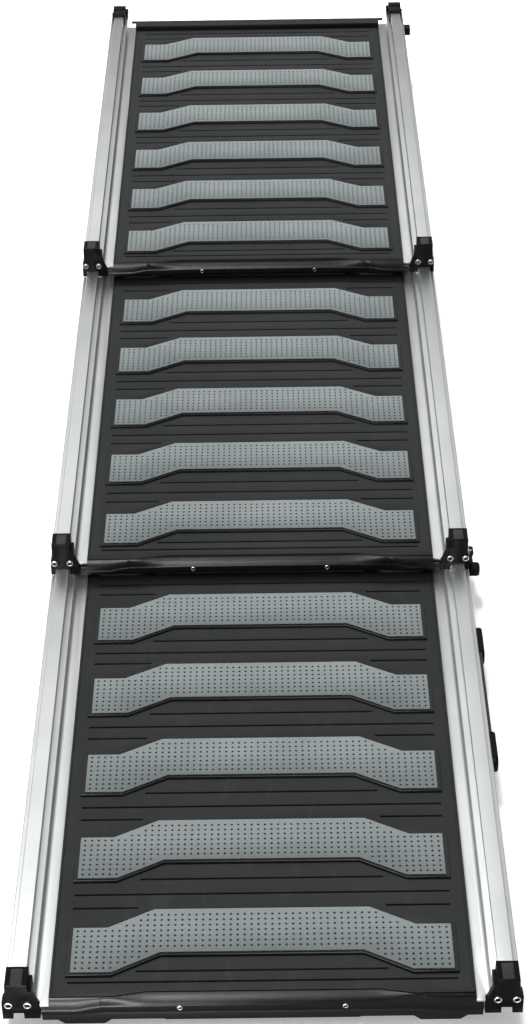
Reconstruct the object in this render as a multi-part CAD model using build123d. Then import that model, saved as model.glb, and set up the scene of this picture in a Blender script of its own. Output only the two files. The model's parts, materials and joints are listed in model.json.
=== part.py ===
from build123d import *
import os
from math import cos, radians, sin

# Telescoping dog ramp, millimetres.  X is across the ramp, +Y runs from the low front end to
# the high rear end, +Z is up.  Every section is drawn in its own section frame: X = 0 on its
# centre line, Y = 0 at the front edge of its first grip strip, Z = 0 on its tread surface.

# --- driving dimensions ---
SECTIONS = ("bottom", "middle", "top")
REACH = 575.0            # from one section to the next when pulled out
STEP = 20.0              # rise from one tread to the next
FLOOR_Z = -30.0          # floor level below the bottom tread

TREAD_HALF = 180.5
TREAD_T = 5.0
TREAD_REAR = 636.5
NOSE_MID_Y = -41.0       # seam between tread and nose at the middle
NOSE_SIDE_Y = -46.0      # the same seam at the sides
NOSE_HALF = 187.0
NOSE_LOBE = 137.0        # the nose's side lobes start here
NOSE_FRONT = -50.0
NOSE_DROP = 8.5          # the front edge's depth below the tread, at the middle
LOBE_DROP = 12.0
LOBE_BACK = -48.0
LOBE_END_TOP = -8.0      # the lobes' outer ends are cut down to here below the ledges
LIP_STEPS = 8
NOSE_TIP = -52.0
NOSE_BOTTOM = -16.5
NOSE_WALL_BACK = -46.5

STRIPS = 6
STRIP_PITCH = 110.0
STRIP_HALF = 164.0
STRIP_DEPTH = 50.0
STRIP_SHIFT = 22.0       # the strip's ends sit this far in front of its middle
STRIP_TOP = 3.0
STRIP_SINK = 1.0
STRIP_EDGE = 0.4         # chamfer round a strip's top
PLINTH_SIDE = 4.0        # margin of the raised plinth beside each strip
PLINTH_FRONT = 2.0       # the same margin in front of it and behind it
PLINTH_TOP = 1.8
MOAT_W = 1.5             # line moulded in front of and behind each plinth

GROOVE_W = 2.4
GROOVE_D = 2.2
GROOVE_FULL_HALF = 166.0
GROOVE_MID_HALF = 108.0
GROOVE_SIDE_IN = 109.0
GROOVE_FRONT = -31.0     # the foremost line, right across
GROOVE_SECOND = -19.0    # the next one, in the middle only
GROOVE_BEHIND = (54.2, 70.3, 88.6)   # lines behind each strip: sides, full, middle
TREAD_SCREW_X = 175.0
RIM_LINE = 178.1         # thin line just inside each side of the tread
RIM_LINE_W = 1.3
RIM_LINE_D = 1.6

RAIL_FRONT = -45.0
RAIL_REAR = 690.0
CAP_REAR = 697.0
RAIL_OUT = 218.5
TONGUE_FRONT = -50.5     # the bottom rails' ledges run forward to here
TONGUE_OUT = 187.9
BEAD_IN = 199.5
BEAD_OUT = 213.5
BEAD_TOP = 10.0
BEAD_NECK = 4.0          # underside of the bead's head
NECK_INSET = 1.5
SHOULDER = 1.0
LEDGE = -5.0
FLANGE_IN = 171.0
FLANGE_T = 2.5
COVE_R = 4.8
COVE_FOOT = 189.4
LEG_IN = 195.0
LEG_BOTTOM = SHOULDER - STEP + 0.3
GAP = 0.5                # running clearance between a bead and the channel round it
WEB_IN = 202.5           # hollow inside the bead
WEB_OUT = 210.5
CHAMBER_BOTTOM = -7.5

PLATE_FRONT = -50.0      # front face of the upper brackets
PLATE_LEG = -16.3        # lower end of their legs
BLOCK_IN = 197.0
BLOCK_OUT = 216.2
BLOCK_REAR = -29.5
BLOCK_TOP = 22.5
BLOCK_ROUND = 0.9
NOTCH_IN = 198.7
NOTCH_OUT = 214.2
FIN_IN = 194.2
FIN_REAR = -32.0
FIN_TOP = 12.0
PAD_IN = 201.2           # rubber pad in the block's top
PAD_OUT = 211.8
PAD_MARGIN = 1.2
PAD_T = 1.0
SCREW_X = (198.4, 214.5)
SCREW_Z = -2.4
SCREW_SEAT = 0.8
SCREW_R = 1.5
SCREW_HOLE_R = 1.6
HEAD_R = 3.5
HEAD_T = 1.2

BAR_REAR = 657.0         # rear crossbar
BAR_TOP = 6.0
BAR_BOTTOM = -9.0
BAR_HALF = 170.5
BAR_ROUND = 3.0
BAR_LIP = 4.0            # the thin lips that overhang the rails at its ends
BAR_LIP_LOW = 2.5
STOP_REAR = TREAD_REAR - REACH - 0.3
STOP_T = 6.2
STOP_BOTTOM = -16.0
STOP_CLEAR = 4.0         # room left for the stop bar between the ribs
RIB_BOTTOM = -12.0
RIB_T = 3.0
RIB_PITCH = 60.0
CROSS_RIB_Y = 104.0
CROSS_RIB_HALF = 160.0
WALL_HALF = 165.0        # wall behind the nose
WALL_BOTTOM = -14.0
NOSE_SCREW_X = (-70.0, 70.0)
NOSE_SCREW_Z = -11.0

FOOT_IN = 134.0
FOOT_OUT = 168.0
FOOT_BAR_BOTTOM = -25.0
LOW_PLATE_FRONT = -51.4  # the bottom section's brackets, a little larger
LOW_PLATE_OUT = 220.0
LOW_LEG = -20.8
LOW_NOTCH = 4.7          # half width of the small notch in their legs
LOW_NOTCH_TOP = -13.9
LOW_BLOCK_TOP = 20.0
LOW_SCREW_Z = -5.0

HANDLE_FRONT = 236.0
HANDLE_REAR = 438.0
HANDLE_MOUNT_L = 46.0
HANDLE_PROUD = 6.0
STRAP_W = 16.0
STRAP_T = 2.0
SIDE_Z = -9.0            # middle of a rail's outer wall
WALL_HOLE = 3.8          # depth of the blind holes in that wall
WALL_SHANK = 3.5

LEVER_PIVOT = (222.4, 559.0)
LEVER_IN = 219.7
LEVER_T = 2.8
LEVER_FRONT = 531.0
LEVER_LOW = -10.5
ARM_TOP = -4.0
TAB_IN = 221.5
TAB_TOP = -2.5
TAB_OUT = 231.0
TAB_REAR = 545.0
HOOK_FRONT = 543.0
HOOK_REAR = 546.5
HOOK_TOP = 10.0
HOOK_IN = 219.2
CATCH_OUT = 220.9        # the middle section's stop that the hook meets
CATCH_GAP = 0.6
EAR_FRONT = 552.0
EAR_REAR = 566.0
MOUNT_REAR = 577.0
MOUNT_OUT = 225.6
MOUNT_LOW = -15.5
MOUNT_TOP = 2.4
SLOT_LOW = -10.7
SLOT_TOP = -0.2
SLOT_IN = 219.4
MOUNT_PLATE = 220.6
MOUNT_SCREWS = (569.5, 574.0)
PIN_R = 1.5

LUG_OUT = 228.0          # tether lug on the top section
LUG_Y = 642.5
LUG_Z = -8.5
LUG_SIZE = (15.0, 11.0)

# the row frame's origin is at the middle of the whole box's base
ORIGIN_X = (TAB_OUT - LOW_PLATE_OUT) / 2
ORIGIN_Y = (NOSE_TIP + CAP_REAR + 2 * REACH) / 2


# --- helpers ---
def box(x0, x1, y0, y1, z0, z1):
    """A box from its two corners."""
    size = (x1 - x0, y1 - y0, z1 - z0)
    return Pos((x0 + x1) / 2, (y0 + y1) / 2, (z0 + z1) / 2) * Box(*size)


def prism_y(points, y0, y1):
    """An outline of (x, z) corners drawn out along Y."""
    wire = Polyline(*[(x, y0, z) for x, z in points], close=True)
    return extrude(make_face(wire), amount=y1 - y0, dir=(0, 1, 0))


def prism_x(points, x0, x1):
    """An outline of (y, z) corners drawn out along X."""
    wire = Polyline(*[(x0, y, z) for y, z in points], close=True)
    return extrude(make_face(wire), amount=x1 - x0, dir=(1, 0, 0))


def prism_z(points, z0, z1):
    """An outline of (x, y) corners drawn out along Z."""
    wire = Polyline(*[(x, y, z0) for x, y in points], close=True)
    return extrude(make_face(wire), amount=z1 - z0, dir=(0, 0, 1))


def rod_x(x0, x1, y, z, r):
    """A round rod along X."""
    return Pos((x0 + x1) / 2, y, z) * Rot(0, 90, 0) * Cylinder(r, x1 - x0)


def rod_y(x, y0, y1, z, r):
    """A round rod along Y."""
    return Pos(x, (y0 + y1) / 2, z) * Rot(90, 0, 0) * Cylinder(r, y1 - y0)


def rod_z(x, y, z0, z1, r):
    """A round rod along Z."""
    return Pos(x, y, (z0 + z1) / 2) * Cylinder(r, z1 - z0)


def left(shape):
    """The mirror piece on the left side."""
    return mirror(shape, about=Plane.YZ)


def both(points):
    """An outline's right half, given from the middle out, with its mirror added."""
    return points + [(-x, y) for x, y in reversed(points)]


def joined(shapes):
    """One solid from overlapping or touching ones."""
    first, *rest = shapes
    return first.fuse(*rest) if rest else first


def rounded(shape, radius, keep):
    """Fillet the edges that keep() picks."""
    return fillet(shape.edges().filter_by(keep), radius)


def cross_head_y(x, y_face, z, r, thick, shank):
    """A cross-head screw seated on a face that looks towards -Y."""
    head = rod_y(x, y_face - thick, y_face, z, r)
    head = chamfer(head.edges().group_by(Axis.Y)[0], thick * 0.45)
    slot = r * 0.62
    for wide, tall in ((slot, 0.45), (0.45, slot)):
        head -= box(x - wide, x + wide, y_face - thick, y_face - thick * 0.4, z - tall, z + tall)
    return joined([head, rod_y(x, y_face, y_face + shank, z, SCREW_R)])


def cross_head_x(x_face, y, z, r, thick, shank, shank_r):
    """A cross-head screw seated on a face that looks towards +X."""
    head = rod_x(x_face, x_face + thick, y, z, r)
    head = chamfer(head.edges().group_by(Axis.X)[-1], thick * 0.45)
    slot = r * 0.62
    for wide, tall in ((slot, 0.4), (0.4, slot)):
        head -= box(x_face + thick * 0.4, x_face + thick, y - wide, y + wide, z - tall, z + tall)
    return joined([head, rod_x(x_face - shank, x_face, y, z, shank_r)])


# --- one section ---
def strip_outline(side=0.0, front=0.0):
    """The chevron outline of a grip strip, in plan, with an optional margin."""
    end = STRIP_HALF + side
    lead = [(87.5, -front), (129.0, -STRIP_SHIFT - front), (end, -STRIP_SHIFT - front)]
    rear_end = STRIP_DEPTH - STRIP_SHIFT + 1.0 + front
    trail = [(end, rear_end), (134.0, rear_end), (94.0, STRIP_DEPTH + front)]
    return both(lead + trail)


def grip_strips():
    """Six raised grip strips, sunk a little into the tread."""
    one = prism_z(strip_outline(), -STRIP_SINK, STRIP_TOP)
    one = chamfer(one.edges().group_by(Axis.Z)[-1], STRIP_EDGE)
    return Compound([Pos(0, k * STRIP_PITCH, 0) * one for k in range(STRIPS)])


def groove(x0, x1, y):
    """One drainage line cut into the tread."""
    return box(x0, x1, y - GROOVE_W / 2, y + GROOVE_W / 2, -GROOVE_D, 0)


def groove_set():
    """All drainage lines of one tread."""
    lines = [groove(-GROOVE_MID_HALF, GROOVE_MID_HALF, GROOVE_SECOND)]
    lines.append(groove(-GROOVE_FULL_HALF, GROOVE_FULL_HALF, GROOVE_FRONT))
    for k in range(STRIPS):
        at_sides, across, at_middle = (k * STRIP_PITCH + y for y in GROOVE_BEHIND)
        lines.append(groove(GROOVE_SIDE_IN, GROOVE_FULL_HALF, at_sides))
        lines.append(groove(-GROOVE_FULL_HALF, -GROOVE_SIDE_IN, at_sides))
        lines.append(groove(-GROOVE_FULL_HALF, GROOVE_FULL_HALF, across))
        if k < STRIPS - 1:
            lines.append(groove(-GROOVE_MID_HALF, GROOVE_MID_HALF, at_middle))
    return lines


def rim_lines():
    """The thin line along each side of the tread."""
    half = RIM_LINE_W / 2
    line = box(RIM_LINE - half, RIM_LINE + half, NOSE_SIDE_Y + 3, TREAD_REAR - 3, -RIM_LINE_D, 0)
    return [line, left(line)]


def strip_plinth():
    """Raised moulding that a grip strip is let into, for the first strip."""
    plinth = prism_z(strip_outline(PLINTH_SIDE, PLINTH_FRONT), -GROOVE_D - 0.3, PLINTH_TOP)
    return chamfer(plinth.edges().group_by(Axis.Z)[-1], STRIP_EDGE)


def seam_front():
    """The tread's plan outline up to the chevron seam with the nose."""
    half = [(98.0, NOSE_MID_Y), (128.0, NOSE_SIDE_Y), (TREAD_HALF, NOSE_SIDE_Y)]
    return both(half + [(TREAD_HALF, TREAD_REAR)])


def tread_screw_spots():
    """Where the panel is screwed down on the rail flanges."""
    return [(side * TREAD_SCREW_X, 20.0 + 145.0 * k) for side in (-1, 1) for k in range(5)]


def tread_panel():
    """Moulded tread plate with strip pockets, drainage lines and ribs underneath."""
    plate = prism_z(seam_front(), -TREAD_T, 0)
    moat = prism_z(strip_outline(PLINTH_SIDE, PLINTH_FRONT + MOAT_W), -GROOVE_D, 0)
    plate -= [Pos(0, k * STRIP_PITCH, 0) * moat for k in range(STRIPS)]
    pieces = [plate]
    plinth = strip_plinth()
    pieces += [Pos(0, k * STRIP_PITCH, 0) * plinth for k in range(STRIPS)]
    half = RIB_T / 2
    for k in range(-2, 3):
        x = k * RIB_PITCH
        ahead = STOP_REAR - STOP_T - STOP_CLEAR
        pieces.append(box(x - half, x + half, NOSE_MID_Y + 5, ahead, RIB_BOTTOM, -TREAD_T))
        pieces.append(box(x - half, x + half, STOP_REAR + STOP_CLEAR, TREAD_REAR, RIB_BOTTOM, -TREAD_T))
    for k in range(STRIPS - 1):
        y = CROSS_RIB_Y + k * STRIP_PITCH
        pieces.append(box(-CROSS_RIB_HALF, CROSS_RIB_HALF, y - half, y + half, RIB_BOTTOM, -TREAD_T))
    pieces.append(box(-WALL_HALF, WALL_HALF, NOSE_WALL_BACK, NOSE_MID_Y, WALL_BOTTOM, -TREAD_T))
    pieces.append(box(-WALL_HALF, WALL_HALF, NOSE_MID_Y, NOSE_MID_Y + 6, RIB_BOTTOM, -TREAD_T))
    panel = joined(pieces)
    panel -= groove_set() + rim_lines()
    pocket = prism_z(strip_outline(), -STRIP_SINK, PLINTH_TOP)
    panel -= [Pos(0, k * STRIP_PITCH, 0) * pocket for k in range(STRIPS)]
    panel -= [rod_z(x, y, -TREAD_T, -1.8, SCREW_HOLE_R) for x, y in tread_screw_spots()]
    for x in NOSE_SCREW_X:
        panel -= rod_y(x, NOSE_WALL_BACK, NOSE_WALL_BACK + 5, NOSE_SCREW_Z, SCREW_HOLE_R)
    return panel


def tread_screws():
    """Screws that hold the tread down, heads below the rail flange."""
    under = LEDGE - FLANGE_T
    screws = []
    for x, y in tread_screw_spots():
        head = rod_z(x, y, under - 1.8, under, 3.2)
        screws.append(joined([head, rod_z(x, y, under, -2.0, SCREW_R)]))
    return Compound(screws)


def rail_outline():
    """Edges of the rail's cross section on the right side, in X and Z."""
    neck_in = BEAD_IN + NECK_INSET
    neck_out = BEAD_OUT - NECK_INSET
    ceiling = BEAD_TOP - STEP + GAP
    lip_top = BEAD_NECK - STEP - GAP
    lip_in = neck_in - 0.6
    lip_out = neck_out + 0.6
    cove_top = COVE_FOOT + COVE_R
    run = [(cove_top, LEDGE + COVE_R), (cove_top, SHOULDER), (neck_in, SHOULDER),
           (neck_in, BEAD_NECK), (BEAD_IN, BEAD_NECK), (BEAD_IN, BEAD_TOP), (BEAD_OUT, BEAD_TOP),
           (BEAD_OUT, BEAD_NECK), (neck_out, BEAD_NECK), (neck_out, SHOULDER),
           (RAIL_OUT, SHOULDER), (RAIL_OUT, LEG_BOTTOM), (lip_out, LEG_BOTTOM), (lip_out, lip_top),
           (BEAD_OUT + GAP, lip_top), (BEAD_OUT + GAP, ceiling), (BEAD_IN - GAP, ceiling),
           (BEAD_IN - GAP, lip_top), (lip_in, lip_top), (lip_in, LEG_BOTTOM),
           (LEG_IN, LEG_BOTTOM), (LEG_IN, LEDGE - FLANGE_T), (FLANGE_IN, LEDGE - FLANGE_T),
           (FLANGE_IN, LEDGE), (COVE_FOOT, LEDGE)]
    return run


def rail_face(y):
    """The rail's cross section as a face at the given Y, cove included."""
    run = rail_outline()
    straight = Polyline(*[(x, y, z) for x, z in run])
    mid = COVE_R * (1 - cos(radians(45)))
    on_arc = (COVE_FOOT + COVE_R * sin(radians(45)), y, LEDGE + mid)
    foot, top = run[-1], run[0]
    cove = ThreePointArc((foot[0], y, foot[1]), on_arc, (top[0], y, top[1]))
    return make_face(Curve() + [straight, cove])


def rail(screw_z):
    """Right side rail: an aluminium extrusion, hollow under its bead."""
    body = extrude(rail_face(RAIL_FRONT), amount=RAIL_REAR - RAIL_FRONT, dir=(0, 1, 0))
    body -= box(WEB_IN, WEB_OUT, RAIL_FRONT, RAIL_REAR, CHAMBER_BOTTOM, BEAD_TOP - 2)
    crests = [(BEAD_IN, BEAD_TOP), (BEAD_OUT, BEAD_TOP), (RAIL_OUT, SHOULDER), (RAIL_OUT, LEG_BOTTOM)]

    def on_crest(edge):
        if edge.length < 700:
            return False
        middle = edge.center()
        return any(abs(middle.X - x) < 0.1 and abs(middle.Z - z) < 0.1 for x, z in crests)

    body = rounded(body, 1.0, on_crest)
    body -= box(FLANGE_IN, COVE_FOOT + COVE_R, BAR_REAR, RAIL_REAR, LEDGE - FLANGE_T, SHOULDER)
    body -= [rod_y(x, RAIL_FRONT, RAIL_FRONT + 14, screw_z, SCREW_HOLE_R) for x in SCREW_X]
    for x, y in tread_screw_spots():
        if x > 0:
            body -= rod_z(x, y, LEDGE - FLANGE_T, LEDGE, SCREW_HOLE_R)
    return body


def lip_curve(seam, front, drop):
    """Rounded top of the nose in Y and Z, from the seam down to its crisp front edge."""
    start, end = (seam, 0.0), (front, -drop)
    pull = (front + 0.36 * (seam - front), -0.2 * drop)
    points = []
    for k in range(LIP_STEPS + 1):
        t = k / LIP_STEPS
        weights = ((1 - t) ** 2, 2 * t * (1 - t), t ** 2)
        points.append(tuple(sum(w * p[i] for w, p in zip(weights, (start, pull, end))) for i in (0, 1)))
    return points


def nose():
    """Glossy rounded lip in front of the tread, with two fuller side lobes."""
    wall = NOSE_WALL_BACK
    middle = lip_curve(NOSE_MID_Y, NOSE_FRONT, NOSE_DROP)
    middle += [(NOSE_FRONT, NOSE_BOTTOM), (wall, NOSE_BOTTOM), (wall, -TREAD_T), (NOSE_MID_Y, -TREAD_T)]
    lobe = lip_curve(NOSE_SIDE_Y, NOSE_TIP, LOBE_DROP)
    lobe += [(NOSE_TIP, NOSE_BOTTOM), (LOBE_BACK, NOSE_BOTTOM), (LOBE_BACK, -TREAD_T),
             (NOSE_SIDE_Y, -TREAD_T)]
    lip = prism_x(middle, -NOSE_LOBE, NOSE_LOBE)
    lip -= prism_z(seam_front(), -TREAD_T, 0)
    side = prism_x(lobe, NOSE_LOBE, NOSE_HALF)
    end = box(WALL_HALF, NOSE_HALF, LOBE_BACK, RAIL_FRONT - 0.05, NOSE_BOTTOM, LOBE_END_TOP)
    side = joined([side, end])
    side = joined([side, box(NOSE_LOBE, WALL_HALF, LOBE_BACK, wall, NOSE_BOTTOM, -TREAD_T)])
    side -= box(TREAD_HALF, NOSE_HALF, NOSE_TIP, RAIL_FRONT, LOBE_END_TOP, 0)
    whole = joined([lip, side, left(side)])
    whole -= [rod_y(x, NOSE_FRONT, wall, NOSE_SCREW_Z, SCREW_HOLE_R + 0.2) for x in NOSE_SCREW_X]
    return whole


def nose_screws():
    """Two small screws through the front of the nose into the tread's front rib."""
    return Compound([cross_head_y(x, NOSE_FRONT, NOSE_SCREW_Z, 2.4, 0.9, 8.0) for x in NOSE_SCREW_X])


def rear_crossbar():
    """Raised rounded bar across the rear of the tread."""
    bar = box(-BAR_HALF, BAR_HALF, TREAD_REAR, BAR_REAR, BAR_BOTTOM, BAR_TOP)
    over = box(-TREAD_HALF, TREAD_HALF, TREAD_REAR, BAR_REAR, LEDGE, BAR_TOP)
    lips = box(-NOSE_HALF, NOSE_HALF, BAR_REAR - BAR_LIP, BAR_REAR, BAR_LIP_LOW, BAR_TOP)
    bar = joined([bar, over, lips])
    top_edges = bar.edges().filter_by(Axis.X).group_by(Axis.Z)[-1].sort_by(Axis.Y)
    bar = fillet(top_edges[-1], BAR_ROUND)
    top_edges = bar.edges().filter_by(Axis.X).group_by(Axis.Z)[-1].sort_by(Axis.Y)
    return fillet(top_edges[0], BAR_ROUND / 2)


def bracket(low, notch):
    """Right front bracket: end plate, saddle block over the bead, inner fin and web."""
    front, out, leg, top, screw_z = bracket_sizes(low)
    notch_in, notch_out, notch_top = notch
    outline = [(188.0, leg), (188.0, -8.0), (189.0, -5.0), (194.0, 9.0), (194.0, FIN_TOP),
               (BLOCK_IN, FIN_TOP), (BLOCK_IN, top), (BLOCK_OUT, top), (BLOCK_OUT, 6.0),
               (out - 1.3, 4.0), (out, -1.0), (out, leg)]
    plate = prism_y(outline, front, RAIL_FRONT)
    block = box(BLOCK_IN, BLOCK_OUT, RAIL_FRONT, BLOCK_REAR, SHOULDER, top)
    block -= box(BEAD_IN, BEAD_OUT, RAIL_FRONT, BLOCK_REAR, SHOULDER, BEAD_TOP)
    fin = box(FIN_IN, BLOCK_IN, RAIL_FRONT, FIN_REAR, SHOULDER, FIN_TOP)
    body = joined([plate, block, fin])
    body -= box(notch_in, notch_out, front, RAIL_FRONT, leg, notch_top)
    body -= pad_box(front, top)
    for x in SCREW_X:
        body -= rod_y(x, front, RAIL_FRONT, screw_z, SCREW_HOLE_R)
        body -= rod_y(x, front, front + SCREW_SEAT, screw_z, HEAD_R + 0.3)

    def top_rim(edge):
        middle = edge.center()
        outer = abs(middle.X - BLOCK_IN) < 0.1 or abs(middle.X - BLOCK_OUT) < 0.1
        ends = abs(middle.Y - front) < 0.1 or abs(middle.Y - BLOCK_REAR) < 0.1
        return abs(middle.Z - top) < 0.1 and (outer or ends)

    return rounded(body, BLOCK_ROUND, top_rim)


def bracket_sizes(low):
    """Front face, outer side, leg end, block top and screw height of a bracket."""
    if low:
        return LOW_PLATE_FRONT, LOW_PLATE_OUT, LOW_LEG, LOW_BLOCK_TOP, LOW_SCREW_Z
    return PLATE_FRONT, RAIL_OUT, PLATE_LEG, BLOCK_TOP, SCREW_Z


def bracket_screws(low):
    """Two cross-head screws in each front bracket."""
    front, _, _, _, screw_z = bracket_sizes(low)
    face = front + SCREW_SEAT
    right = [cross_head_y(x, face, screw_z, HEAD_R, HEAD_T, 16.0) for x in SCREW_X]
    return Compound(right + [left(s) for s in right])


def pad_box(front, top):
    """Room for the pad in a bracket's top."""
    return box(PAD_IN, PAD_OUT, front + PAD_MARGIN, FIN_REAR, top - PAD_T, top)


def bumper_pads(low):
    """Soft pads let into the tops of both brackets."""
    front, _, _, top, _ = bracket_sizes(low)
    pad = pad_box(front, top)
    pad = chamfer(pad.edges().group_by(Axis.Z)[-1], 0.4)
    return Compound([pad, left(pad)])


def rear_plug(face_rear):
    """Right end cap that closes the rail's rear end, with a plug in the bead's hollow."""
    outline = [(LEG_IN, SHOULDER), (BEAD_IN + NECK_INSET, SHOULDER), (BEAD_IN + NECK_INSET, BEAD_NECK),
               (BEAD_IN, BEAD_NECK), (BEAD_IN, BEAD_TOP), (BEAD_OUT, BEAD_TOP), (BEAD_OUT, BEAD_NECK),
               (BEAD_OUT - NECK_INSET, BEAD_NECK), (BEAD_OUT - NECK_INSET, SHOULDER),
               (RAIL_OUT, SHOULDER), (RAIL_OUT, LEG_BOTTOM), (LEG_IN, LEG_BOTTOM)]
    plate = prism_y(outline, RAIL_REAR, face_rear)
    fit = 0.05
    plug = box(WEB_IN + fit, WEB_OUT - fit, RAIL_REAR - 14, RAIL_REAR,
               CHAMBER_BOTTOM + fit, BEAD_TOP - 2 - fit)
    return joined([plate, plug])


def top_rear_cap():
    """Right end cap of the top section, wrapped over the bead."""
    body = rear_plug(CAP_REAR)
    hood = box(BEAD_IN - 2, BEAD_OUT + 2, 662.0, CAP_REAR, SHOULDER, BEAD_TOP + 2.5)
    hood -= box(BEAD_IN, BEAD_OUT, 662.0, RAIL_REAR, SHOULDER, BEAD_TOP)
    cheeks = [box(BEAD_IN - 2, BEAD_IN, 653.0, 662.0, SHOULDER, BEAD_TOP - 1),
              box(BEAD_OUT, BEAD_OUT + 2, 653.0, 662.0, SHOULDER, BEAD_TOP - 1)]
    fin = joined([box(LEG_IN - 1, LEG_IN + 0.5, 676.0, CAP_REAR, SHOULDER, BEAD_TOP - 3),
                  box(LEG_IN - 1, BEAD_IN - 1.5, RAIL_REAR, CAP_REAR, SHOULDER - 1, BEAD_TOP - 3)])
    hood -= box(BEAD_IN - 2, BEAD_OUT + 2, 680.0, 683.0, BEAD_TOP + 1.5, BEAD_TOP + 2.5)

    def rear_corner(edge):
        middle = edge.center()
        return abs(middle.Y - CAP_REAR) < 0.1 and middle.Z > SHOULDER + 2 and edge.length > 3

    hood = rounded(hood, 1.6, rear_corner)
    return joined([body, hood, *cheeks, fin])


def stop_bar():
    """Bar under the tread that meets the crossbar below at full reach."""
    return box(-150, 150, STOP_REAR - STOP_T, STOP_REAR, STOP_BOTTOM, -TREAD_T)


# --- pieces on one section only ---
def foot_bar():
    """Bar under the bottom nose that carries the two front feet."""
    low = FOOT_BAR_BOTTOM
    outline = both([(82.0, low - 1.0), (84.0, low), (FOOT_IN - 6, low), (FOOT_IN, FLOOR_Z),
                    (FOOT_OUT, FLOOR_Z), (FOOT_OUT + 6, low), (NOSE_HALF, low),
                    (NOSE_HALF, NOSE_BOTTOM)])
    return prism_y(outline, PLATE_FRONT, -33.0)


def rear_feet():
    """Feet under the bottom section's rail ends."""
    foot = box(LEG_IN, RAIL_OUT, 666.0, RAIL_REAR + 4, FLOOR_Z, LEG_BOTTOM)
    foot = chamfer(foot.edges().group_by(Axis.Z)[0], 2.0)
    return Compound([foot, left(foot)])


def handle_ends():
    """Front ends of the two handle mounts along Y."""
    return (HANDLE_FRONT, HANDLE_REAR - HANDLE_MOUNT_L)


def handle_strap():
    """Flexible flat strap of the carry handle, its ends held in the two mounts."""
    x0 = RAIL_OUT + 0.8
    low, high = SIDE_Z - STRAP_W / 2, SIDE_Z + STRAP_W / 2
    strap = box(x0, x0 + STRAP_T, HANDLE_FRONT + 26, HANDLE_REAR - 26, low, high)
    for y in (HANDLE_FRONT + 34, HANDLE_REAR - 34):
        strap -= rod_x(x0, x0 + STRAP_T, y, SIDE_Z, SCREW_HOLE_R + 0.2)
    return strap


def handle_mount(y0):
    """One domed end mount of the handle, slotted for the strap."""
    y1 = y0 + HANDLE_MOUNT_L
    body = box(RAIL_OUT, RAIL_OUT + HANDLE_PROUD, y0, y1, SIDE_Z - 9.5, SIDE_Z + 9.5)
    body = fillet(body.edges().filter_by(Axis.X), 8.0)
    body = fillet(body.edges().group_by(Axis.X)[-1], 2.4)
    x0 = RAIL_OUT + 0.8
    low, high = SIDE_Z - STRAP_W / 2, SIDE_Z + STRAP_W / 2
    body -= box(x0, x0 + STRAP_T, HANDLE_FRONT + 26, HANDLE_REAR - 26, low, high)
    body -= [rod_x(RAIL_OUT, TAB_OUT, y, SIDE_Z, SCREW_HOLE_R) for y in handle_screw_ys()]
    body -= [rod_x(RAIL_OUT + HANDLE_PROUD - 1, TAB_OUT, y, SIDE_Z, 3.3) for y in handle_screw_ys()]
    return body


def handle_screw_ys():
    """Where the handle's screws are along Y."""
    return (HANDLE_FRONT + 12, HANDLE_FRONT + 34, HANDLE_REAR - 34, HANDLE_REAR - 12)


def handle_screws():
    """Screws through the handle mounts into the rail's outer wall."""
    face = RAIL_OUT + HANDLE_PROUD - 1
    reach = face - RAIL_OUT + WALL_SHANK
    return Compound([cross_head_x(face, y, SIDE_Z, 3.0, 1.0, reach, 1.4) for y in handle_screw_ys()])


def release_mount():
    """Clevis on the bottom rail's outer wall that carries the release lever's pin."""
    x, y = LEVER_PIVOT
    ears = box(RAIL_OUT, MOUNT_OUT, EAR_FRONT, EAR_REAR, MOUNT_LOW, MOUNT_TOP)
    ears = fillet(ears.edges().filter_by(Axis.Z).group_by(Axis.X)[-1], 3.0)
    ears -= box(SLOT_IN, MOUNT_OUT, EAR_FRONT, EAR_REAR, SLOT_LOW, SLOT_TOP)
    plate = box(RAIL_OUT, MOUNT_PLATE, EAR_REAR, MOUNT_REAR, MOUNT_LOW + 2, MOUNT_TOP - 3)
    mount = joined([ears, plate]) - rod_z(x, y, MOUNT_LOW, MOUNT_TOP, PIN_R)
    return mount - [rod_x(RAIL_OUT, MOUNT_PLATE, at, SIDE_Z, 1.3) for at in MOUNT_SCREWS]


def release_screws():
    """Two screws that hold the release mount on the rail."""
    reach = MOUNT_PLATE - RAIL_OUT + WALL_SHANK
    return Compound([cross_head_x(MOUNT_PLATE, at, SIDE_Z, 2.1, 1.0, reach, 1.25) for at in MOUNT_SCREWS])


def release_lever():
    """Finger lever with a rounded tab at its front end and a hook that stands up beside it."""
    x, y = LEVER_PIVOT
    arm = box(LEVER_IN, LEVER_IN + LEVER_T, LEVER_FRONT, y, LEVER_LOW, ARM_TOP)
    boss = rod_z(x, y, LEVER_LOW, ARM_TOP, LEVER_T - 0.1)
    hook = box(HOOK_IN, LEVER_IN + LEVER_T, HOOK_FRONT, HOOK_REAR, ARM_TOP - 4, HOOK_TOP)
    tab = box(TAB_IN, TAB_OUT, LEVER_FRONT, TAB_REAR, LEVER_LOW, TAB_TOP)
    tab = fillet(tab.edges().filter_by(Axis.Z).group_by(Axis.X)[-1], 4.0)
    return joined([arm, boss, hook, tab]) - rod_z(x, y, LEVER_LOW, ARM_TOP, PIN_R + 0.12)


def release_pin():
    """Pivot pin of the release lever, with a small head under the mount."""
    x, y = LEVER_PIVOT
    head = rod_z(x, y, MOUNT_LOW - 1.0, MOUNT_LOW, 2.5)
    return joined([rod_z(x, y, MOUNT_LOW, MOUNT_TOP, PIN_R), head])


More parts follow.
